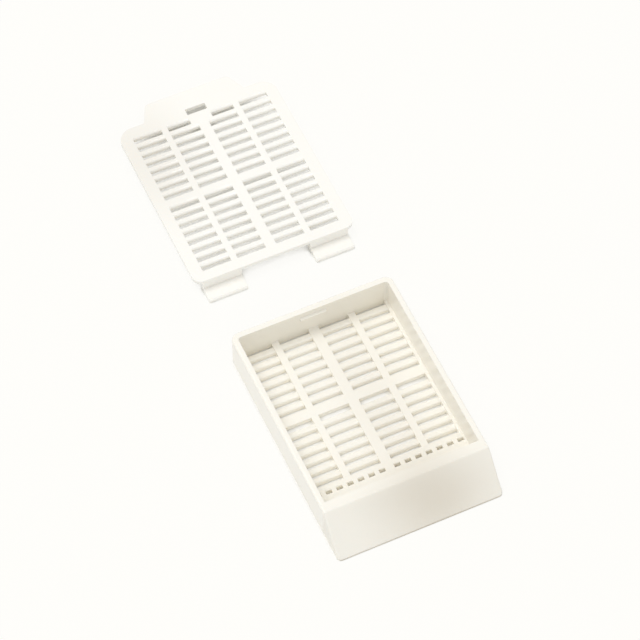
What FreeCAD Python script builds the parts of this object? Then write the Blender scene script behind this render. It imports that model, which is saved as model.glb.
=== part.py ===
import FreeCAD, Part
import os
import Sketcher

# Tissue cassette: an open slotted base with a sloping front, and its separate lid that snaps shut.
# Millimetres. Origin at the centre of the base's footprint, Z up, the slope towards -Y.
# The lid is drawn where it closes on the base, and its Placement lays it behind the base.

doc = FreeCAD.newDocument("tissue_cassette")
sheet = doc.addObject("Spreadsheet::Sheet", "Dims")

DIMENSIONS = [
    # outer form of the base
    ("base_length", "41.6", "whole length, back face to toe"),
    ("base_width", "28.5", "outer width"),
    ("rim_height", "6.3", "underside to rim"),
    ("side_wall", "1.0", "side wall thickness"),
    ("back_wall", "1.1", "back wall thickness"),
    ("front_band", "1.7", "flat top of the front wall, compartment to slope"),
    ("slope_run", "5.6", "length of the slope seen from above"),
    ("toe_height", "0.3", "upright edge at the foot of the slope"),
    ("back_corner_radius", "1.4", "outer upright corners at the back"),
    ("front_corner_radius", "0.7", "outer upright corners at the toe"),
    ("cavity_corner_radius", "0.5", "inner upright corners of the compartment"),
    ("rim_round", "0.35", "rounding of the outer rim edge"),
    # floor
    ("slat_height", "0.8", "underside to the top of the slats"),
    ("rib_height", "0.95", "underside to the top of ribs, crossbar and front strip"),
    ("slot_width", "0.76", "narrowest opening of one slot along Y"),
    ("slat_round", "0.37", "rounding of the slats' upper front edges"),
    ("slat_back_round", "0.16", "rounding of the slats' upper back edges"),
    ("slot_rows", "7", "slot rows in each of the two groups"),
    ("group_gap", "2.95", "last row of the back group to first row of the front group"),
    ("crossbar_setback", "13.65", "back wall to the crossbar's back edge"),
    ("crossbar_width", "1.83", "crossbar between the groups, along Y"),
    ("strip_setback", "0.42", "centre of the last row to the front strip"),
    ("first_row_setback", "2.104", "back wall to the centre of the first whole row"),
    ("last_row_setback", "5.922", "front wall to the centre of the last row"),
    ("centre_rib", "1.76", "rib on the middle line"),
    ("side_rib", "1.2", "ribs between inner and outer slots"),
    ("side_strip", "0.53", "outer slots to the side walls"),
    ("perforation_start", "1.31", "centre line to the first perforation"),
    ("perforation_margin", "0.83", "side wall to the centre of the last perforation"),
    ("perforation_count", "7", "perforations each side of the centre line"),
    ("perforation_length", "1.07", "perforation along X"),
    ("perforation_width", "0.5", "narrowest opening of a perforation along Y"),
    ("perforation_round", "0.24", "rounding of a perforation's long upper edges"),
    ("perforation_setback", "4.22", "front wall to the centre of the perforations"),
    # catch ridge inside the back wall
    ("ridge_half_width", "2.3", "half width of the catch ridge"),
    ("ridge_depth", "0.4", "how far the ridge stands out of the wall"),
    ("ridge_drop", "1.7", "rim to the ridge's underside"),
    ("ridge_tip_height", "0.35", "upright edge of the ridge"),
    ("ridge_rise", "0.15", "fall of the ridge's top from the wall to its edge"),
    # hollow under the slope, open below
    ("front_wall", "1.0", "thickness of the wall between compartment and hollow"),
    ("slope_skin", "1.23", "slope plate measured along Y"),
    # clearances of the closed lid
    ("wall_gap", "0.13", "lid to the front wall's inner face"),
    ("side_gap", "0.15", "tongue ends to the side walls"),
    ("tongue_gap", "0.15", "tongue to its pocket"),
    ("hook_gap", "0.1", "hook to ridge and back wall"),
    # lid
    ("lid_thickness", "0.7", "lid plate"),
    ("lid_width", "28.8", "lid plate, a little wider than the base"),
    ("lid_back_inset", "0.13", "lid's back edge inside the back wall's outer face"),
    ("lid_front_radius", "1.6", "front corners of the lid"),
    ("lid_back_radius", "2.7", "back corners of the lid"),
    ("lid_slot_width", "0.8", "narrowest opening of one lid slot along Y"),
    ("lid_slot_round", "0.4", "rounding of the lid slots' upper back edges"),
    ("lid_slot_front_round", "0.24", "rounding of the lid slots' upper front edges"),
    ("lid_group_gap", "2.706", "last row of the back group to first row of the front group"),
    ("lid_back_rows", "8", "rows in the lid's back group, with the shortened one"),
    ("lid_front_rows", "8", "rows in the lid's front group"),
    ("lid_first_row_setback", "2.945", "lid's back edge to the centre of its first row"),
    ("lid_last_row_setback", "2.461", "lid's front edge to the centre of its last row"),
    ("lid_centre_rib", "1.82", "rib on the lid's middle line"),
    ("lid_side_rib", "1.1", "ribs between the lid's inner and outer slots"),
    ("lid_side_strip", "2.11", "outer slots to the lid's side edges"),
    ("short_slot_start", "1.95", "inner end of the first row's shortened slots"),
    ("window_half_width", "1.8", "half width of the window over the hook"),
    ("window_length", "1.25", "window along Y"),
    ("tab_length", "3.6", "finger tab beyond the lid's back edge"),
    ("tab_root_half", "9.3", "half width of the tab at the lid"),
    ("tab_tip_half", "7.6", "half width of the tab at its end"),
    ("tab_radius", "1.2", "outer corners of the tab"),
    # tongues and hook under the lid
    ("tongue_inner", "6.2", "centre line to a tongue"),
    ("riser_thickness", "0.9", "wall that carries a tongue"),
    ("tongue_drop", "2.15", "lid's top to the tongue's top"),
    ("tongue_thickness", "0.75", "tongue"),
    ("tongue_reach", "2.55", "tongue beyond the lid's front edge"),
    ("tongue_chamfer", "0.2", "chamfer on the tongue's upper front edge"),
    ("leg_half_width", "1.7", "half width of the hook"),
    ("leg_thickness", "0.8", "hook leg along Y"),
    ("nose_edge", "0.15", "upright edge of the hook's nose"),
    # where the lid lies
    ("lid_out_y", "47.59", "way the lid has moved back from the base"),
    # positions that follow from the sizes above
    ("back_y", "=base_length / 2", "back face"),
    ("toe_y", "=-base_length / 2", "toe"),
    ("back_inner_y", "=back_y - back_wall", "back wall's inner face"),
    ("slope_top_y", "=toe_y + slope_run", "upper edge of the slope"),
    ("front_inner_y", "=slope_top_y + front_band", "front wall's inner face"),
    ("cavity_half", "=base_width / 2 - side_wall", "half width of the compartment"),
    ("slope_rate", "=slope_run / (rim_height - toe_height)", "slope, Y for each Z"),
    ("first_row_y", "=back_inner_y - first_row_setback", "first whole row"),
    ("last_row_y", "=front_inner_y + last_row_setback", "last row"),
    ("slot_pitch", "=(first_row_y - last_row_y - group_gap) / (2 * slot_rows - 2)", "slot row to slot row"),
    ("second_row_y", "=last_row_y + (slot_rows - 1) * slot_pitch", "front group's first row"),
    ("slot_length", "=(cavity_half - centre_rib / 2 - side_rib - side_strip) / 2", "slot along X"),
    ("inner_slot_start", "=centre_rib / 2", "centre line to the inner slots"),
    ("inner_slot_end", "=inner_slot_start + slot_length", "outer end of the inner slots"),
    ("outer_slot_start", "=inner_slot_end + side_rib", "inner end of the outer slots"),
    ("outer_slot_end", "=outer_slot_start + slot_length", "outer end of the outer slots"),
    ("perforation_run", "=cavity_half - perforation_margin - perforation_start", "first to last one"),
    ("perforation_pitch", "=perforation_run / (perforation_count - 1)", "perforation to perforation"),
    ("foot_slot_y", "=first_row_y + slot_pitch - slot_width / 2", "edge of the slot at the wall's foot"),
    ("crossbar_back_y", "=back_inner_y - crossbar_setback", "crossbar's back edge"),
    ("crossbar_front_y", "=crossbar_back_y - crossbar_width", "crossbar's front edge"),
    ("strip_back_y", "=last_row_y - strip_setback", "front strip's back edge"),
    ("perforation_y", "=front_inner_y + perforation_setback", "row of perforations"),
    ("lid_top", "=rim_height + lid_thickness", "lid's top when closed"),
    ("lid_front_y", "=front_inner_y + wall_gap", "lid's front edge when closed"),
    ("lid_back_y", "=back_y - lid_back_inset", "lid's back edge when closed"),
    ("lid_row_y", "=lid_back_y - lid_first_row_setback", "lid's first row when closed"),
    ("lid_last_y", "=lid_front_y + lid_last_row_setback", "lid's last row when closed"),
    ("lid_pitch", "=(lid_row_y - lid_last_y - lid_group_gap) / (lid_back_rows + lid_front_rows - 2)",
     "lid's slot row to slot row"),
    ("lid_second_y", "=lid_last_y + (lid_front_rows - 1) * lid_pitch", "lid's front group"),
    ("lid_slot_length", "=(lid_width / 2 - lid_centre_rib / 2 - lid_side_rib - lid_side_strip) / 2",
     "lid slot along X"),
    ("lid_inner_slot_start", "=lid_centre_rib / 2", "centre line to the lid's inner slots"),
    ("lid_inner_slot_end", "=lid_inner_slot_start + lid_slot_length", "outer end of the lid's inner slots"),
    ("lid_outer_slot_start", "=lid_inner_slot_end + lid_side_rib", "inner end of the lid's outer slots"),
    ("lid_outer_slot_end", "=lid_outer_slot_start + lid_slot_length", "outer end of the lid's outer slots"),
    ("ridge_bottom", "=rim_height - ridge_drop", "height of the ridge's underside"),
    ("leg_back_y", "=back_inner_y - ridge_depth - hook_gap", "hook leg's back face"),
    ("nose_tip_y", "=back_inner_y - hook_gap", "tip of the hook's nose"),
    ("nose_top", "=ridge_bottom - hook_gap", "top of the hook's nose"),
    ("tongue_top", "=lid_top - tongue_drop", "tongue's top when closed"),
    ("tongue_bottom", "=tongue_top - tongue_thickness", "lowest level of the lid when closed"),
    ("tongue_outer", "=cavity_half - side_gap", "outer end of a tongue"),
    ("tongue_tip_y", "=lid_front_y - tongue_reach", "tip of a tongue when closed"),
    ("pocket_top", "=tongue_top + tongue_gap", "top of a pocket"),
    ("pocket_bottom", "=tongue_bottom - tongue_gap", "bottom of a pocket"),
    ("pocket_end_y", "=tongue_tip_y - tongue_gap", "end of a pocket"),
    ("hollow_back_y", "=front_inner_y - front_wall", "back of the hollow under the slope"),
]

for row, (alias, value, note) in enumerate(DIMENSIONS, start=1):
    sheet.set(f"A{row}", alias)
    sheet.set(f"B{row}", value)
    sheet.set(f"C{row}", note)
    sheet.setAlias(f"B{row}", alias)
doc.recompute()

# how near two places count as the same, and the least volume that a cut has to take
SAME_PLACE = 1e-4
LEAST_CUT = 1e-6


def with_sheet(expression):
    """Put the sheet's name before each alias in an expression."""
    words = []
    word = ""
    for letter in expression + " ":
        if letter.isalnum() or letter in "._":
            word += letter
            continue
        if word and word[0].isalpha():
            word = "Dims." + word
        words.append(word + letter)
        word = ""
    return "".join(words).strip()


def amount(expression):
    """The present value of an expression, as a plain number."""
    value = sheet.evalExpression(with_sheet(expression))
    return float(getattr(value, "Value", value))


def plane_of(body, role):
    """The body's own origin plane with this role."""
    return next(feature for feature in body.Origin.OriginFeatures if feature.Role == role)


def new_sketch(body, name, role, offset):
    """A sketch on an origin plane, moved along the plane's normal by an expression."""
    sketch = body.newObject("Sketcher::SketchObject", name)
    sketch.AttachmentSupport = (plane_of(body, role), [""])
    sketch.MapMode = "FlatFace"
    sketch.AttachmentOffset = FreeCAD.Placement(FreeCAD.Vector(0, 0, amount(offset)), FreeCAD.Rotation())
    sketch.setExpression(".AttachmentOffset.Base.z", with_sheet(offset))
    return sketch


def add_outline(sketch, corners):
    """A closed outline through corners given as (across, up) expressions."""
    points = [FreeCAD.Vector(amount(across), amount(up), 0) for across, up in corners]
    first = sketch.GeometryCount
    for index, point in enumerate(points):
        sketch.addGeometry(Part.LineSegment(point, points[(index + 1) % len(points)]), False)
    for index, (across, up) in enumerate(corners):
        line = first + index
        following = first + (index + 1) % len(corners)
        sketch.addConstraint(Sketcher.Constraint("Coincident", line, 2, following, 1))
        for kind, expression in (("DistanceX", across), ("DistanceY", up)):
            place = sketch.addConstraint(
                Sketcher.Constraint(kind, -1, 1, line, 1, amount(expression))
            )
            sketch.setExpression(f"Constraints[{place}]", with_sheet(expression))


def box_corners(left, right, near, far):
    """The corners of an upright rectangle."""
    return [(left, near), (right, near), (right, far), (left, far)]


def pad(body, name, role, offset, outlines, length):
    """A pad of outlines on a plane, by a length given as an expression."""
    sketch = new_sketch(body, name + "_sketch", role, offset)
    for corners in outlines:
        add_outline(sketch, corners)
    feature = body.newObject("PartDesign::Pad", name)
    feature.Profile = sketch
    feature.Length = amount(length)
    feature.setExpression("Length", with_sheet(length))
    body.Tip = feature
    doc.recompute()
    return feature


def pocket(body, name, role, offset, outlines, length):
    """A pocket of outlines against the plane's normal; length None cuts through all."""
    before = body.Shape.Volume
    sketch = new_sketch(body, name + "_sketch", role, offset)
    for corners in outlines:
        add_outline(sketch, corners)
    feature = body.newObject("PartDesign::Pocket", name)
    feature.Profile = sketch
    if length is None:
        feature.Type = "ThroughAll"
    else:
        feature.Length = amount(length)
        feature.setExpression("Length", with_sheet(length))
    body.Tip = feature
    doc.recompute()
    if not body.Shape.Volume < before - LEAST_CUT:
        raise RuntimeError(f"{name} cuts nothing")
    return feature


def repeat(body, name, features, axis, backwards, spacing, count):
    """A row of features along an axis of the first one's sketch."""
    before = body.Shape.Volume
    pattern = body.newObject("PartDesign::LinearPattern", name)
    pattern.Originals = features
    pattern.Direction = (features[0].Profile[0], [axis])
    pattern.Reversed = backwards
    pattern.Mode = "Spacing"
    pattern.Offset = amount(spacing)
    pattern.setExpression("Offset", with_sheet(spacing))
    pattern.Occurrences = int(round(amount(count)))
    pattern.setExpression("Occurrences", with_sheet(count))
    body.Tip = pattern
    doc.recompute()
    if not body.Shape.Volume < before - LEAST_CUT:
        raise RuntimeError(f"{name} repeats nothing")
    return pattern


def edges_of(body, wanted):
    """Names of the body's edges that a test accepts."""
    return [f"Edge{number}" for number, edge in enumerate(body.Shape.Edges, start=1) if wanted(edge)]


def fillet(body, name, wanted, radius):
    """Round the edges that a test accepts."""
    names = edges_of(body, wanted)
    if not names:
        raise RuntimeError(f"{name} finds no edge")
    previous = body.Tip
    feature = body.newObject("PartDesign::Fillet", name)
    feature.Base = (previous, names)
    feature.Radius = amount(radius)
    feature.setExpression("Radius", with_sheet(radius))
    body.Tip = feature
    doc.recompute()
    return feature


def near(value, expression):
    """Whether a coordinate is at the place an expression gives."""
    return abs(value - amount(expression)) < SAME_PLACE


def upright_at(edge, across, up):
    """Whether an edge stands upright at plus or minus one X and at one Y."""
    ends = [vertex.Point for vertex in edge.Vertexes]
    if len(ends) != 2 or max(abs(ends[0].x - ends[1].x), abs(ends[0].y - ends[1].y)) > SAME_PLACE:
        return False
    return near(abs(ends[0].x), across) and near(ends[0].y, up)


def crosses_at(edge, height, front, back):
    """Whether an edge runs along X at a height, with its Y between two places."""
    ends = [vertex.Point for vertex in edge.Vertexes]
    if len(ends) != 2 or max(abs(ends[0].y - ends[1].y), abs(ends[0].z - ends[1].z)) > SAME_PLACE:
        return False
    inside = amount(front) + SAME_PLACE < ends[0].y < amount(back) - SAME_PLACE
    return near(ends[0].z, height) and inside


def slope_y(height):
    """Expression of the slope's outer face at a height expression."""
    return f"slope_top_y - (rim_height - ({height})) * slope_rate"


# ---------------------------------------------------------------- base
base = doc.addObject("PartDesign::Body", "base")
base.Label = "base"

pad(
    base, "block", "XY_Plane", "0",
    [box_corners("-base_width / 2", "base_width / 2", "toe_y", "back_y")],
    "rim_height",
)
fillet(base, "back_corners", lambda edge: upright_at(edge, "base_width / 2", "back_y"),
       "back_corner_radius")
fillet(base, "toe_corners", lambda edge: upright_at(edge, "base_width / 2", "toe_y"),
       "front_corner_radius")

# the writing slope: everything above the line from the slope's upper edge to the toe
pocket(
    base, "slope_cut", "YZ_Plane", "base_width / 2 + side_wall",
    [[
        ("slope_top_y", "rim_height"),
        ("toe_y", "toe_height"),
        ("toe_y - side_wall", "toe_height"),
        ("toe_y - side_wall", "rim_height + side_wall"),
        ("slope_top_y", "rim_height + side_wall"),
    ]],
    "base_width + 2 * side_wall",
)

# the rim's outer edge, the slope's upper edge and the slope's sides are softly rounded
def on_outer_top(edge):
    """Whether an edge bounds the rim or the slope on the outside."""
    middle = edge.valueAt((edge.FirstParameter + edge.LastParameter) / 2)
    if near(middle.z, "rim_height"):
        return True
    above_toe = middle.z > amount("toe_height") + SAME_PLACE
    at_side = near(abs(middle.x), "base_width / 2")
    return above_toe and at_side and near(middle.y, slope_y(str(middle.z)))


fillet(base, "rim_edge", on_outer_top, "rim_round")

# compartment down to the ribs, then the slotted fields down to the slats
pocket(
    base, "compartment", "XY_Plane", "rim_height",
    [box_corners("-cavity_half", "cavity_half", "front_inner_y", "back_inner_y")],
    "rim_height - rib_height",
)
fillet(base, "compartment_corners", lambda edge: upright_at(edge, "cavity_half", "back_inner_y"),
       "cavity_corner_radius")


def slots_between(columns, front, back):
    """One box in each column, from one Y to another."""
    return [box_corners(left, right, front, back) for left, right in columns]


def row_of(columns, centre, width):
    """One row of slots about a centre."""
    return slots_between(columns, f"{centre} - {width} / 2", f"{centre} + {width} / 2")


COLUMNS = [
    ("-outer_slot_end", "-outer_slot_start"),
    ("-inner_slot_end", "-inner_slot_start"),
    ("inner_slot_start", "inner_slot_end"),
    ("outer_slot_start", "outer_slot_end"),
]
pocket(
    base, "fields", "XY_Plane", "rib_height",
    slots_between(COLUMNS, "crossbar_back_y", "back_inner_y")
    + slots_between(COLUMNS, "strip_back_y", "crossbar_front_y"),
    "rib_height - slat_height",
)
back_row = pocket(base, "back_slot_row", "XY_Plane", "rib_height",
                  row_of(COLUMNS, "first_row_y", "slot_width"), None)
repeat(base, "back_slots", [back_row], "V_Axis", True, "slot_pitch", "slot_rows")
front_row = pocket(base, "front_slot_row", "XY_Plane", "rib_height",
                   row_of(COLUMNS, "second_row_y", "slot_width"), None)
repeat(base, "front_slots", [front_row], "V_Axis", True, "slot_pitch", "slot_rows")
pocket(
    base, "edge_slots", "XY_Plane", "rib_height",
    slots_between(COLUMNS, "foot_slot_y", "back_inner_y")
    + slots_between(COLUMNS, "crossbar_back_y", "second_row_y + group_gap")
    + slots_between(COLUMNS, "second_row_y", "crossbar_front_y")
    + slots_between(COLUMNS, "strip_back_y", "last_row_y"),
    None,
)

# perforations near the front wall
for side, sign, backwards in (("right", "", False), ("left", "-", True)):
    hole = pocket(
        base, f"{side}_perforation", "XY_Plane", "rib_height",
        [box_corners(
            f"{sign}perforation_start - perforation_length / 2",
            f"{sign}perforation_start + perforation_length / 2",
            "perforation_y - perforation_width / 2",
            "perforation_y + perforation_width / 2",
        )],
        None,
    )
    repeat(base, f"{side}_perforations", [hole], "H_Axis", backwards,
           "perforation_pitch", "perforation_count")

# catch ridge for the lid's hook
pad(
    base, "catch_ridge", "YZ_Plane", "-ridge_half_width",
    [[
        ("back_inner_y", "ridge_bottom"),
        ("back_inner_y", "ridge_bottom + ridge_tip_height + ridge_rise"),
        ("back_inner_y - ridge_depth", "ridge_bottom + ridge_tip_height"),
        ("back_inner_y - ridge_depth", "ridge_bottom"),
    ]],
    "2 * ridge_half_width",
)

# hollow under the slope between the cheeks, then the two pockets that take the tongues
pocket(
    base, "hollow", "YZ_Plane", "cavity_half",
    [[
        ("hollow_back_y", "0"),
        ("hollow_back_y", "pocket_top"),
        (slope_y("pocket_top") + " + slope_skin", "pocket_top"),
        (slope_y("0") + " + slope_skin", "0"),
    ]],
    "2 * cavity_half",
)
for side, start in (("right", "cavity_half"), ("left", "-tongue_inner + side_gap")):
    pocket(
        base, f"{side}_tongue_pocket", "YZ_Plane", start,
        [[
            ("front_inner_y", "pocket_bottom"),
            ("front_inner_y", "pocket_top"),
            ("pocket_end_y + tongue_chamfer", "pocket_top"),
            ("pocket_end_y", "pocket_top - tongue_chamfer"),
            ("pocket_end_y", "pocket_bottom"),
        ]],
        "cavity_half - tongue_inner + side_gap",
    )



def on_slat(edge):
    """Whether an edge is a long upper edge of a slat."""
    return crosses_at(edge, "slat_height", "strip_back_y", "back_inner_y")


def starts_slot(edge):
    """Whether a slat's edge is at the front of a slot: a whole number of rows from its group's first."""
    y = edge.Vertexes[0].Point.y
    row = "first_row_y" if y > amount("crossbar_back_y") else "second_row_y"
    rows = (y - amount(f"{row} - slot_width / 2")) / amount("slot_pitch")
    return abs(rows - round(rows)) < SAME_PLACE


# the long upper edges of slats and perforations
fillet(base, "slat_back_edges", lambda edge: on_slat(edge) and starts_slot(edge), "slat_back_round")
fillet(base, "slat_edges", lambda edge: on_slat(edge) and not starts_slot(edge), "slat_round")
fillet(base, "perforation_edges",
       lambda edge: crosses_at(edge, "rib_height", "front_inner_y", "strip_back_y"), "perforation_round")

# ---------------------------------------------------------------- lid
lid = doc.addObject("PartDesign::Body", "lid")
lid.Label = "lid"

pad(
    lid, "plate", "XY_Plane", "rim_height",
    [[
        ("-lid_width / 2", "lid_front_y"),
        ("lid_width / 2", "lid_front_y"),
        ("lid_width / 2", "lid_back_y"),
        ("tab_root_half", "lid_back_y"),
        ("tab_tip_half", "lid_back_y + tab_length"),
        ("-tab_tip_half", "lid_back_y + tab_length"),
        ("-tab_root_half", "lid_back_y"),
        ("-lid_width / 2", "lid_back_y"),
    ]],
    "lid_thickness",
)
fillet(lid, "front_corners", lambda edge: upright_at(edge, "lid_width / 2", "lid_front_y"),
       "lid_front_radius")
fillet(lid, "back_corners", lambda edge: upright_at(edge, "lid_width / 2", "lid_back_y"),
       "lid_back_radius")
fillet(lid, "tab_corners", lambda edge: upright_at(edge, "tab_tip_half", "lid_back_y + tab_length"),
       "tab_radius")

# two tongues at the front, each on a riser flush with the lid's front edge
for side, start in (("right", "tongue_inner"), ("left", "-tongue_outer")):
    pad(
        lid, f"{side}_tongue", "YZ_Plane", start,
        [[
            ("lid_front_y + riser_thickness", "rim_height"),
            ("lid_front_y", "rim_height"),
            ("lid_front_y", "tongue_top"),
            ("tongue_tip_y + tongue_chamfer", "tongue_top"),
            ("tongue_tip_y", "tongue_top - tongue_chamfer"),
            ("tongue_tip_y", "tongue_bottom"),
            ("lid_front_y + riser_thickness", "tongue_bottom"),
        ]],
        "tongue_outer - tongue_inner",
    )

# the hook that snaps under the catch ridge, as deep as the tongues
pad(
    lid, "hook", "YZ_Plane", "-leg_half_width",
    [[
        ("leg_back_y", "rim_height"),
        ("leg_back_y - leg_thickness", "rim_height"),
        ("leg_back_y - leg_thickness", "tongue_bottom"),
        ("leg_back_y", "tongue_bottom"),
        ("nose_tip_y", "nose_top - nose_edge"),
        ("nose_tip_y", "nose_top"),
        ("leg_back_y", "nose_top"),
    ]],
    "2 * leg_half_width",
)

LID_OUTER_LEFT = ("-lid_outer_slot_end", "-lid_outer_slot_start")
LID_OUTER_RIGHT = ("lid_outer_slot_start", "lid_outer_slot_end")
LID_COLUMNS = [
    LID_OUTER_LEFT,
    ("-lid_inner_slot_end", "-lid_inner_slot_start"),
    ("lid_inner_slot_start", "lid_inner_slot_end"),
    LID_OUTER_RIGHT,
]
SHORT_COLUMNS = [
    LID_OUTER_LEFT,
    ("-lid_inner_slot_end", "-short_slot_start"),
    ("short_slot_start", "lid_inner_slot_end"),
    LID_OUTER_RIGHT,
]


def lid_row(name, columns, centre):
    """A row of slots in the lid with its long upper edges rounded, as the two features."""
    slots = pocket(lid, name, "XY_Plane", "lid_top", row_of(columns, centre, "lid_slot_width"), None)
    front = f"{centre} - lid_slot_width"
    back = f"{centre} + lid_slot_width"
    back_edges = fillet(lid, name + "_edges", lambda edge: crosses_at(edge, "lid_top", centre, back),
                        "lid_slot_round")
    front_edges = fillet(lid, name + "_front_edges", lambda edge: crosses_at(edge, "lid_top", front, centre),
                         "lid_slot_front_round")
    return [slots, back_edges, front_edges]


lid_row("short_row", SHORT_COLUMNS, "lid_row_y")
repeat(lid, "lid_back_slots", lid_row("lid_back_row", LID_COLUMNS, "lid_row_y - lid_pitch"),
       "V_Axis", True, "lid_pitch", "lid_back_rows - 1")
repeat(lid, "lid_front_slots", lid_row("lid_front_row", LID_COLUMNS, "lid_second_y"),
       "V_Axis", True, "lid_pitch", "lid_front_rows")
pocket(
    lid, "window", "XY_Plane", "lid_top",
    [box_corners("-window_half_width", "window_half_width", "leg_back_y", "leg_back_y + window_length")],
    None,
)

lid.setExpression(".Placement.Base.y", with_sheet("lid_out_y"))
lid.setExpression(".Placement.Base.z", with_sheet("-tongue_bottom"))
doc.recompute()

# ---------------------------------------------------------------- checks and export
for thing in doc.Objects:
    faults = [state for state in thing.State if state in ("Invalid", "Error")]
    if faults:
        raise RuntimeError(f"{thing.Name} is {faults}")

os.makedirs("parts", exist_ok=True)
for body in (base, lid):
    shape = body.Shape
    if shape.isNull() or not shape.isValid() or len(shape.Solids) != 1:
        raise RuntimeError(f"{body.Label} is not one valid solid")
    shape.exportStep(f"parts/{body.Label}.step")
    print(body.Label, "volume", round(shape.Volume, 2), shape.BoundBox)
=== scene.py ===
"""Dresses the tissue cassette: a white moulded base and its lid, lying apart on a white table."""

import logging
import math
from dataclasses import dataclass
from enum import Enum
from typing import Any, Optional, Union

import bmesh
import bpy
import numpy as np
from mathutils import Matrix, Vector


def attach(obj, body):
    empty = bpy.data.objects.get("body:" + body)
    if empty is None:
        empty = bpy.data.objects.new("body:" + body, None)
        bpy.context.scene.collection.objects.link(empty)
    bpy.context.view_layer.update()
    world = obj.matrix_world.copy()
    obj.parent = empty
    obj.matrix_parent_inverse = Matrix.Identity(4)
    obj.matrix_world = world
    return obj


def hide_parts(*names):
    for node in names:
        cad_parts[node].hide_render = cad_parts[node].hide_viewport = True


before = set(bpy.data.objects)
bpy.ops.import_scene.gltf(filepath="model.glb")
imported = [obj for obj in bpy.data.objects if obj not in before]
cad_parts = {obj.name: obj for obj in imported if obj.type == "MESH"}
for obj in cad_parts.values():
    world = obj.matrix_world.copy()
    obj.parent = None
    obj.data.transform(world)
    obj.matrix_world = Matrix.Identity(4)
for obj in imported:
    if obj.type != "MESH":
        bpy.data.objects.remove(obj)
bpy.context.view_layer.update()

logging.basicConfig(level=logging.INFO, format="%(message)s")
LOG = logging.getLogger("tissue_cassette")

MM = 0.001
DIFFUSE_BOUNCES = 12  # white walls this close together pass light on many times

Point = tuple[float, float, float]
Colour = tuple[float, float, float, float]
Value = Union["Signal", float]
Paint = Union[Colour, bpy.types.NodeSocket]
Settings = dict[str, Any]
Inputs = dict[Union[str, int], Any]


class Part(Enum):
    """The two moulded pieces, by the names of their nodes and bodies."""

    BASE = "base"
    LID = "lid"


# ------------------------------------------------------------------ shader maths
class Signal:
    """A value on a shader socket, which adds Math nodes when it is used in an expression."""

    def __init__(self, sheet: "NodeSheet", socket: bpy.types.NodeSocket) -> None:
        """Wraps one output socket.

        Args:
            sheet: the node sheet that new Math nodes go to.
            socket: the output socket that carries the value.
        """
        self.sheet = sheet
        self.socket = socket

    def _maths(self, operation: str, *values: Value) -> "Signal":
        """Adds one Math node.

        Args:
            operation: the Math node's operation.
            values: its inputs in order, as signals or plain numbers.

        Returns:
            The node's result.
        """
        settings = {"operation": operation}
        return self.sheet.signal("ShaderNodeMath", 0, settings, dict(enumerate(values)))

    def __add__(self, other: Value) -> "Signal":
        """self + other."""
        return self._maths("ADD", self, other)

    def __radd__(self, other: float) -> "Signal":
        """other + self."""
        return self._maths("ADD", other, self)

    def __sub__(self, other: Value) -> "Signal":
        """self - other."""
        return self._maths("SUBTRACT", self, other)

    def __rsub__(self, other: float) -> "Signal":
        """other - self."""
        return self._maths("SUBTRACT", other, self)

    def __mul__(self, other: Value) -> "Signal":
        """self * other."""
        return self._maths("MULTIPLY", self, other)

    def __rmul__(self, other: float) -> "Signal":
        """other * self."""
        return self._maths("MULTIPLY", other, self)

    def __lt__(self, other: Value) -> "Signal":
        """1 where self is below other, else 0."""
        return self._maths("LESS_THAN", self, other)

    def __gt__(self, other: Value) -> "Signal":
        """1 where self is above other, else 0."""
        return self._maths("GREATER_THAN", self, other)


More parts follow.
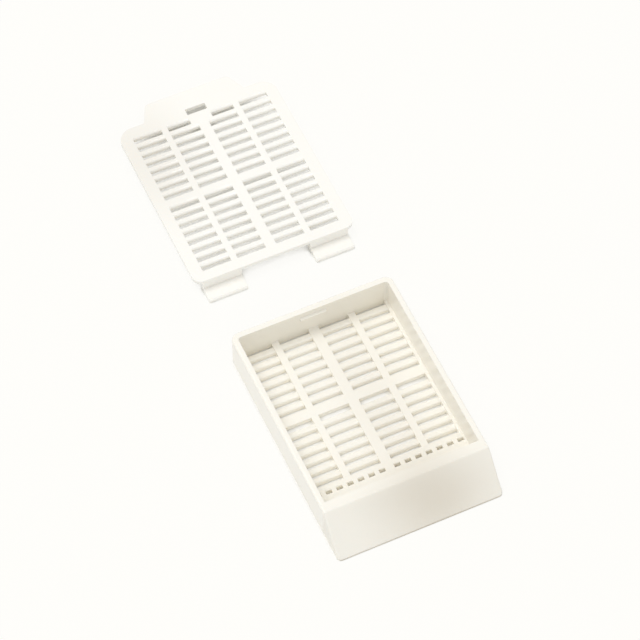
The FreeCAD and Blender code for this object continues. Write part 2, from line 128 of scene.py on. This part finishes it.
class NodeSheet:
    """The node tree of a material or the world, with one method that adds any node."""

    # a Mix node's sockets for colours, by number, because its others have the same names
    MIX_SHARE, MIX_FIRST, MIX_SECOND, MIX_RESULT = 0, 6, 7, 2

    def __init__(self, tree: bpy.types.NodeTree) -> None:
        """Empties the tree and keeps it.

        Args:
            tree: the node tree to fill.
        """
        self.tree = tree
        tree.nodes.clear()

    def node(self, kind: str, settings: Optional[Settings] = None,
             inputs: Optional[Inputs] = None) -> bpy.types.Node:
        """Adds a node, sets its settings, then fills its sockets.

        Args:
            kind: the node's type.
            settings: attributes that are set first, such as a Math node's operation.
            inputs: socket name or number to a number, a colour, a signal or an output socket.

        Returns:
            The new node.
        """
        made = self.tree.nodes.new(kind)
        for name, value in (settings or {}).items():
            setattr(made, name, value)
        for name, value in (inputs or {}).items():
            socket = made.inputs[name]
            if isinstance(value, Signal):
                self.tree.links.new(value.socket, socket)
            elif isinstance(value, bpy.types.NodeSocket):
                self.tree.links.new(value, socket)
            else:
                socket.default_value = value
        return made

    def signal(self, kind: str, output: Union[str, int], settings: Optional[Settings] = None,
               inputs: Optional[Inputs] = None) -> Signal:
        """Adds a node and returns one of its outputs as a signal."""
        return Signal(self, self.node(kind, settings, inputs).outputs[output])

    def mix(self, share: Signal, first: Paint, second: Paint) -> bpy.types.NodeSocket:
        """Mixes two colours: first where share is 0, second where it is 1."""
        inputs = {self.MIX_SHARE: share, self.MIX_FIRST: first, self.MIX_SECOND: second}
        return self.node("ShaderNodeMix", {"data_type": "RGBA"}, inputs).outputs[self.MIX_RESULT]

    def noise(self, place: bpy.types.NodeSocket, scale: float, detail: float) -> Signal:
        """Soft noise from 0 to 1 over the place, with scale lumps to the metre."""
        inputs = {"Vector": place, "Scale": scale, "Detail": detail}
        return self.signal("ShaderNodeTexNoise", 0, {"noise_dimensions": "3D"}, inputs)

    def ease(self, value: Signal, start: float, end: float, first: float, last: float) -> Signal:
        """Turns a value into another by a smooth step.

        Args:
            value: the value.
            start: where the step starts.
            end: where it ends.
            first: the result below start.
            last: the result above end.

        Returns:
            The result.
        """
        inputs = {
            "Value": value, "From Min": start, "From Max": end, "To Min": first, "To Max": last}
        settings = {"interpolation_type": "SMOOTHSTEP"}
        return self.signal("ShaderNodeMapRange", "Result", settings, inputs)

    def watched(self) -> Signal:
        """1 on the rays that show the backdrop to the camera, to gloss and to glass, else 0.

        Returns:
            The sum of the three kinds of ray, of which a ray is only one.
        """
        path = self.node("ShaderNodeLightPath")
        return (Signal(self, path.outputs["Is Camera Ray"])
                + Signal(self, path.outputs["Is Glossy Ray"])
                + Signal(self, path.outputs["Is Transmission Ray"]))


# ------------------------------------------------------------------ finishes
@dataclass(frozen=True)
class PaintedShade:
    """A soft spot of painted shade, where the moulding's colour is turned towards a warm grey.

    Attributes:
        centre: middle of the spot.
        stretch: how distances are scaled along X, Y and Z, so that a spot can be long.
        reach: scaled distance at which the spot has faded out.
        depth: share of the colour that is lost at the middle.
    """

    centre: Point
    stretch: Point
    reach: float
    depth: float

    def share(self, sheet: NodeSheet, place: bpy.types.NodeSocket) -> Signal:
        """The share of colour lost at a place: depth in the middle, falling smoothly to 0 at reach.

        Args:
            sheet: the node sheet of the material.
            place: the place on the surface.

        Returns:
            The share.
        """
        middle = tuple(value * scale for value, scale in zip(self.centre, self.stretch))
        scaled = sheet.node("ShaderNodeVectorMath", {"operation": "MULTIPLY"},
                            {0: place, 1: self.stretch})
        distance = sheet.signal("ShaderNodeVectorMath", "Value", {"operation": "DISTANCE"},
                                {0: scaled.outputs[0], 1: middle})
        return sheet.ease(distance, 0.0, self.reach, self.depth, 0.0)


@dataclass(frozen=True)
class Acetal:
    """White moulded acetal: satin, faintly cloudy, with a fine mould grain and spots of painted
    shade.

    Attributes:
        name: the material's name.
        pale, deep: the two whites that the clouds run between.
        grey: what a spot of painted shade turns its lost share of the colour into.
        painted_shades: the spots of painted shade.
        cloud_scale, flow_scale, grain_scale: lumps to the metre in colour, gloss and bump.
        cloud_detail, fine_detail: octaves of noise in the colour, and in gloss and bump.
        smooth, rough: the roughness between which the gloss runs.
        writing_edge: Y of the writing face's upper edge; the writing face is in front of it.
        writing_roughness: how much rougher the writing face is.
        grain_share: strength of the grain away from the writing face, which has 1 more.
        grain_depth: depth of grain of strength 1.
        index: refractive index.
        translucency, scatter_depth, scatter_ratio: how light goes under the skin and comes out.
    """

    name: str
    pale: Colour
    deep: Colour
    painted_shades: tuple[PaintedShade, ...]
    grey: Colour = (0.24, 0.14, 0.0, 1.0)
    cloud_scale: float = 90.0
    flow_scale: float = 320.0
    grain_scale: float = 2600.0
    cloud_detail: float = 3.0
    fine_detail: float = 2.0
    smooth: float = 0.17
    rough: float = 0.25
    writing_edge: float = -15.2 * MM
    writing_roughness: float = 0.25
    grain_share: float = 0.35
    grain_depth: float = 0.004 * MM
    index: float = 1.48
    translucency: float = 0.12
    scatter_depth: float = 0.6 * MM
    scatter_ratio: Point = (1.0, 0.9, 0.8)

    def colour(self, sheet: NodeSheet, place: bpy.types.NodeSocket) -> bpy.types.NodeSocket:
        """Slow noise between the two whites, then each spot of painted shade turns its share of it
        grey.

        Args:
            sheet: the node sheet of the material.
            place: the place on the surface.

        Returns:
            The colour.
        """
        cloud = sheet.noise(place, self.cloud_scale, self.cloud_detail)
        colour = sheet.mix(cloud, self.deep, self.pale)
        # painted shade: each spot turns its share of the colour grey
        for shade in self.painted_shades:
            colour = sheet.mix(shade.share(sheet, place), colour, self.grey)
        return colour

    def build(self) -> bpy.types.Material:
        """Makes the material.

        Roughness is noise between smooth and rough, and higher on the writing face. Finer noise
        gives the bump, which is deeper there too.

        Returns:
            The material.
        """
        material = bpy.data.materials.new(self.name)
        material.use_nodes = True
        sheet = NodeSheet(material.node_tree)
        place = sheet.node("ShaderNodeTexCoord").outputs["Object"]
        y = sheet.signal("ShaderNodeSeparateXYZ", "Y", inputs={"Vector": place})
        writing = y < self.writing_edge
        flow = sheet.noise(place, self.flow_scale, self.fine_detail)
        grain = sheet.noise(place, self.grain_scale, self.fine_detail)
        roughness = self.smooth + flow * (self.rough - self.smooth)
        bump = sheet.node("ShaderNodeBump", inputs={
            "Height": grain * (self.grain_share + writing),
            "Strength": 1.0,
            "Distance": self.grain_depth,
        })
        shader = sheet.node("ShaderNodeBsdfPrincipled", inputs={
            "Base Color": self.colour(sheet, place),
            "Roughness": roughness + writing * self.writing_roughness,
            "IOR": self.index,
            "Subsurface Weight": self.translucency,
            "Subsurface Scale": self.scatter_depth,
            "Subsurface Radius": self.scatter_ratio,
            "Normal": bump.outputs["Normal"],
        })
        sheet.node("ShaderNodeOutputMaterial", inputs={"Surface": shader.outputs[0]})
        return material


BASE_ACETAL = Acetal(
    name="base_acetal",
    pale=(0.942, 0.915, 0.842, 1.0),
    deep=(0.922, 0.893, 0.820, 1.0),
    painted_shades=(
        # painted shade along the slotted floor, a little right of its middle
        PaintedShade(
            centre=(3.5 * MM, -2.0 * MM, 3.0 * MM), stretch=(1.0, 0.25, 0.5),
            reach=9.0 * MM, depth=0.085),
        # painted shade across the writing face
        PaintedShade(
            centre=(3.5 * MM, -18.2 * MM, 2.6 * MM), stretch=(0.72, 1.0, 1.0),
            reach=11.0 * MM, depth=0.22),
        # painted shade along the writing face's upper edge
        PaintedShade(
            centre=(-3.0 * MM, -15.8 * MM, 5.5 * MM), stretch=(0.5, 1.5, 1.0),
            reach=6.0 * MM, depth=0.06),
        # a thin line of painted shadow at the foot of the writing face, over its whole width
        PaintedShade(
            centre=(0.0, -20.8 * MM, 0.08 * MM), stretch=(0.0, 1.0, 1.0),
            reach=0.3 * MM, depth=0.40),
    ),
)

# the same acetal as the base, with paler whites as painted light: the thin lid is lit more brightly
# and lets more light through
LID_ACETAL = Acetal(
    name="lid_acetal",
    pale=(0.955, 0.940, 0.895, 1.0),
    deep=(0.938, 0.922, 0.876, 1.0),
    painted_shades=(
        # painted shade around the back left corner
        PaintedShade(
            centre=(-13.0 * MM, 62.0 * MM, 2.5 * MM), stretch=(1.0, 0.7, 1.0),
            reach=15.0 * MM, depth=0.12),
    ),
)


@dataclass(frozen=True)
class TableTop:
    """A white table: lit white paper, lifted towards white where it lies open to the sky.

    Attributes:
        name: the material's name.
        paper: colour that light meets.
        painted_shade_paper: painted shade, a darker colour that watched rays see where the table is
            covered.
        seen: colour of the glow that watched rays see in the open.
        lift: share of that glow.
        cover_reach: how far up a cover, such as the lid, is looked for.
        covered: openness, within cover_reach, up to which the table counts as covered.
        uncovered: openness from which it counts as open.
        contact_reach: how far away a wall that stands on the table is looked for.
        touching: openness, within contact_reach, just beside such a wall.
        clear: openness from which the wall no longer shades the table.
        looks: how many directions are tried to find the openness.
    """

    name: str = "white_table"
    paper: Colour = (0.90, 0.90, 0.885, 1.0)
    painted_shade_paper: Colour = (0.70, 0.70, 0.69, 1.0)
    seen: Colour = (1.0, 0.992, 0.962, 1.0)
    lift: float = 0.92
    cover_reach: float = 6.0 * MM
    covered: float = 0.26
    uncovered: float = 0.44
    contact_reach: float = 1.0 * MM
    touching: float = 0.50
    clear: float = 0.82
    looks: int = 16

    def openness(self, sheet: NodeSheet, reach: float, least: float, most: float) -> Signal:
        """How open the table is: the share of directions with nothing within reach, stretched.

        Args:
            sheet: the node sheet of the material.
            reach: how far away things are looked for.
            least: the share that counts as 0.
            most: the share that counts as 1.

        Returns:
            The openness, from 0 to 1.
        """
        unhidden = sheet.signal(
            "ShaderNodeAmbientOcclusion", "AO", {"samples": self.looks}, {"Distance": reach})
        return sheet.ease(unhidden, least, most, 0.0, 1.0)

    def build(self) -> bpy.types.Material:
        """Makes the material: a mix of paper and an even glow that only watched rays see.

        The glow's share is lift where nothing is above or beside the table. It falls to none under
        the lid and the slotted floor, where watched rays see darker paper as painted shade, and
        beside a wall.

        Returns:
            The material.
        """
        material = bpy.data.materials.new(self.name)
        material.use_nodes = True
        sheet = NodeSheet(material.node_tree)
        watched = sheet.watched()
        above = self.openness(sheet, self.cover_reach, self.covered, self.uncovered)
        beside = self.openness(sheet, self.contact_reach, self.touching, self.clear)
        paper = sheet.node("ShaderNodeBsdfDiffuse", inputs={"Color": self.paper})
        painted_shade_paper = sheet.node("ShaderNodeBsdfDiffuse", inputs={"Color": self.painted_shade_paper})
        # painted shade: where the table is covered, watched rays see the darker paper
        lit = sheet.node("ShaderNodeMixShader", inputs={
            0: watched * (1.0 - above), 1: paper.outputs[0], 2: painted_shade_paper.outputs[0]})
        glow = sheet.node("ShaderNodeEmission", inputs={"Color": self.seen, "Strength": 1.0})
        surface = sheet.node("ShaderNodeMixShader", inputs={
            0: watched * above * beside * self.lift, 1: lit.outputs[0], 2: glow.outputs[0]})
        sheet.node("ShaderNodeOutputMaterial", inputs={"Surface": surface.outputs[0]})
        return material


# ------------------------------------------------------------------ the mouldings
@dataclass
class Moulding:
    """One moulded piece: a merged copy of its node with softened edges.

    Attributes:
        part: which piece it is.
        finish: the material it wears.
        weld: corners of the node nearer than this are one corner.
        flat: neighbouring faces that turn less than this are one face.
        sharp: an edge that turns more than this is softened.
        edge: width of the softened edges.
        edge_steps: faces across a softened edge.
        face_weight: how strongly the broad faces set the smooth shading, up to 100.
    """

    part: Part
    finish: bpy.types.Material
    weld: float = 0.0005 * MM
    flat: float = math.radians(0.4)
    sharp: float = math.radians(32)
    edge: float = 0.12 * MM
    edge_steps: int = 2
    face_weight: int = 100

    def shape(self) -> bpy.types.Mesh:
        """Copies the node's mesh, and merges its corners and its flat faces.

        Returns:
            The merged mesh, smooth shaded.
        """
        work = bmesh.new()
        work.from_mesh(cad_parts[self.part.value].data)
        bmesh.ops.remove_doubles(work, verts=work.verts, dist=self.weld)
        bmesh.ops.dissolve_limit(work, angle_limit=self.flat, verts=work.verts, edges=work.edges)
        mesh = bpy.data.meshes.new(f"{self.part.value}_moulding")
        work.to_mesh(mesh)
        work.free()
        mesh.polygons.foreach_set("use_smooth", np.ones(len(mesh.polygons), bool))
        return mesh

    def soften(self, piece: bpy.types.Object) -> None:
        """Rounds the sharp edges a little, and keeps the broad faces evenly shaded.

        Args:
            piece: the piece to soften.
        """
        soft = piece.modifiers.new("soft_edges", "BEVEL")
        soft.width = self.edge
        soft.segments = self.edge_steps
        soft.limit_method = "ANGLE"
        soft.angle_limit = self.sharp
        soft.use_clamp_overlap = True
        soft.harden_normals = True
        level = piece.modifiers.new("level_faces", "WEIGHTED_NORMAL")
        level.mode = "FACE_AREA"
        level.weight = self.face_weight
        level.keep_sharp = True

    def build(self) -> bpy.types.Object:
        """Makes and dresses the piece, then sets it to ride on its body in its node's place.

        Returns:
            The finished piece.
        """
        mesh = self.shape()
        mesh.materials.append(self.finish)
        piece = bpy.data.objects.new(mesh.name, mesh)
        bpy.context.scene.collection.objects.link(piece)
        self.soften(piece)
        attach(piece, self.part.value)
        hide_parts(self.part.value)
        return piece


# ------------------------------------------------------------------ table, light and camera
@dataclass
class Table:
    """The plain pale floor that the cassette lies on.

    Attributes:
        finish: the material it wears.
        half_side: half the length of its sides.
        top: height of its face.
    """

    finish: bpy.types.Material
    half_side: float = 1.2
    top: float = 0.0

    def build(self) -> bpy.types.Object:
        """A flat square at the height of the cassette's underside.

        Returns:
            The floor.
        """
        corners = np.array([(-1, -1), (1, -1), (1, 1), (-1, 1)], float) * self.half_side
        points = np.column_stack([corners, np.full(len(corners), self.top)])
        mesh = bpy.data.meshes.new("table")
        mesh.from_pydata(points.tolist(), [], [(0, 1, 2, 3)])
        mesh.materials.append(self.finish)
        floor = bpy.data.objects.new("table", mesh)
        bpy.context.scene.collection.objects.link(floor)
        return floor


@dataclass(frozen=True)
class SoftBox:
    """A square area lamp aimed at a point.

    Attributes:
        name: the lamp's name.
        place: where its middle is.
        watts: its power.
        side: the length of its sides.
        aim: the point that it faces, at the foot of the base's back wall.
    """

    name: str
    place: Point
    watts: float
    side: float = 0.50
    aim: Point = (0.0, 0.02, 0.0)

    def build(self) -> bpy.types.Object:
        """Makes the lamp and turns it to its aim.

        Returns:
            The lamp.
        """
        light = bpy.data.lights.new(self.name, "AREA")
        light.size = self.side
        light.energy = self.watts
        lamp = bpy.data.objects.new(self.name, light)
        lamp.location = self.place
        lamp.rotation_mode = "QUATERNION"
        lamp.rotation_quaternion = (Vector(self.aim) - Vector(self.place)).to_track_quat("-Z", "Y")
        bpy.context.scene.collection.objects.link(lamp)
        return lamp


@dataclass(frozen=True)
class Studio:
    """Bright even surroundings, a large soft lamp high behind on the left and a weak one in front.

    Attributes:
        sky: colour of the surroundings.
        ambient: strength of the light that they give.
        backdrop: strength at which watched rays see them, where 1 is white.
        lamps: the lamps.
    """

    sky: Colour = (1.0, 0.995, 0.98, 1.0)
    ambient: float = 0.665
    backdrop: float = 1.0
    lamps: tuple[SoftBox, ...] = (
        SoftBox("key", place=(-0.242, 0.262, 0.940), watts=3.8),
        SoftBox("front", place=(0.0, -0.687, 0.707), watts=0.85),
    )

    def build(self) -> list[bpy.types.Object]:
        """Makes the surroundings and the lamps.

        Returns:
            The lamps.
        """
        world = bpy.data.worlds.new("studio")
        world.use_nodes = True
        bpy.context.scene.world = world
        sheet = NodeSheet(world.node_tree)
        strength = self.ambient + sheet.watched() * (self.backdrop - self.ambient)
        glow = sheet.node("ShaderNodeBackground", inputs={"Color": self.sky, "Strength": strength})
        sheet.node("ShaderNodeOutputWorld", inputs={"Surface": glow.outputs[0]})
        return [lamp.build() for lamp in self.lamps]


@dataclass(frozen=True)
class Viewpoint:
    """The camera: it looks down from the front left, from far away.

    Attributes:
        azimuth: how far round the camera stands, from straight in front; left is negative.
        elevation: how far up it stands.
        aim: the point that it looks at.
        distance: how far it is from aim.
        lens, sensor: focal length and film width in millimetres.
        near, far: the depths between which things are drawn.
    """

    azimuth: float = math.radians(-24.743)
    elevation: float = math.radians(56.466)
    aim: Point = (1.93 * MM, 21.15 * MM, 0.0)
    distance: float = 463.9 * MM
    lens: float = 159.95
    sensor: float = 36.0
    near: float = 0.01
    far: float = 10.0

    def build(self) -> bpy.types.Object:
        """Makes the camera, and makes it the scene's.

        Returns:
            The camera.
        """
        back = Vector((
            math.sin(self.azimuth) * math.cos(self.elevation),
            -math.cos(self.azimuth) * math.cos(self.elevation),
            math.sin(self.elevation),
        ))
        data = bpy.data.cameras.new("viewpoint")
        data.lens = self.lens
        data.sensor_width = self.sensor
        data.clip_start = self.near
        data.clip_end = self.far
        camera = bpy.data.objects.new("viewpoint", data)
        camera.location = Vector(self.aim) + back * self.distance
        camera.rotation_mode = "QUATERNION"
        camera.rotation_quaternion = (-back).to_track_quat("-Z", "Y")
        bpy.context.scene.collection.objects.link(camera)
        bpy.context.scene.camera = camera
        return camera


def main() -> None:
    """Builds the mouldings, the table, the light and the camera, and reports each."""
    bpy.context.scene.view_settings.view_transform = "Standard"
    bpy.context.scene.cycles.diffuse_bounces = DIFFUSE_BOUNCES
    for part, acetal in ((Part.BASE, BASE_ACETAL), (Part.LID, LID_ACETAL)):
        piece = Moulding(part, acetal.build()).build()
        LOG.info("%s: %d faces before softening", piece.name, len(piece.data.polygons))
    floor = Table(TableTop().build()).build()
    LOG.info("%s: %.1f m wide", floor.name, floor.dimensions.x)
    for lamp in Studio().build():
        LOG.info("%s: %.2f W", lamp.name, lamp.data.energy)
    camera = Viewpoint().build()
    LOG.info("%s: %.1f mm lens", camera.name, camera.data.lens)


if __name__ == "__main__":
    main()
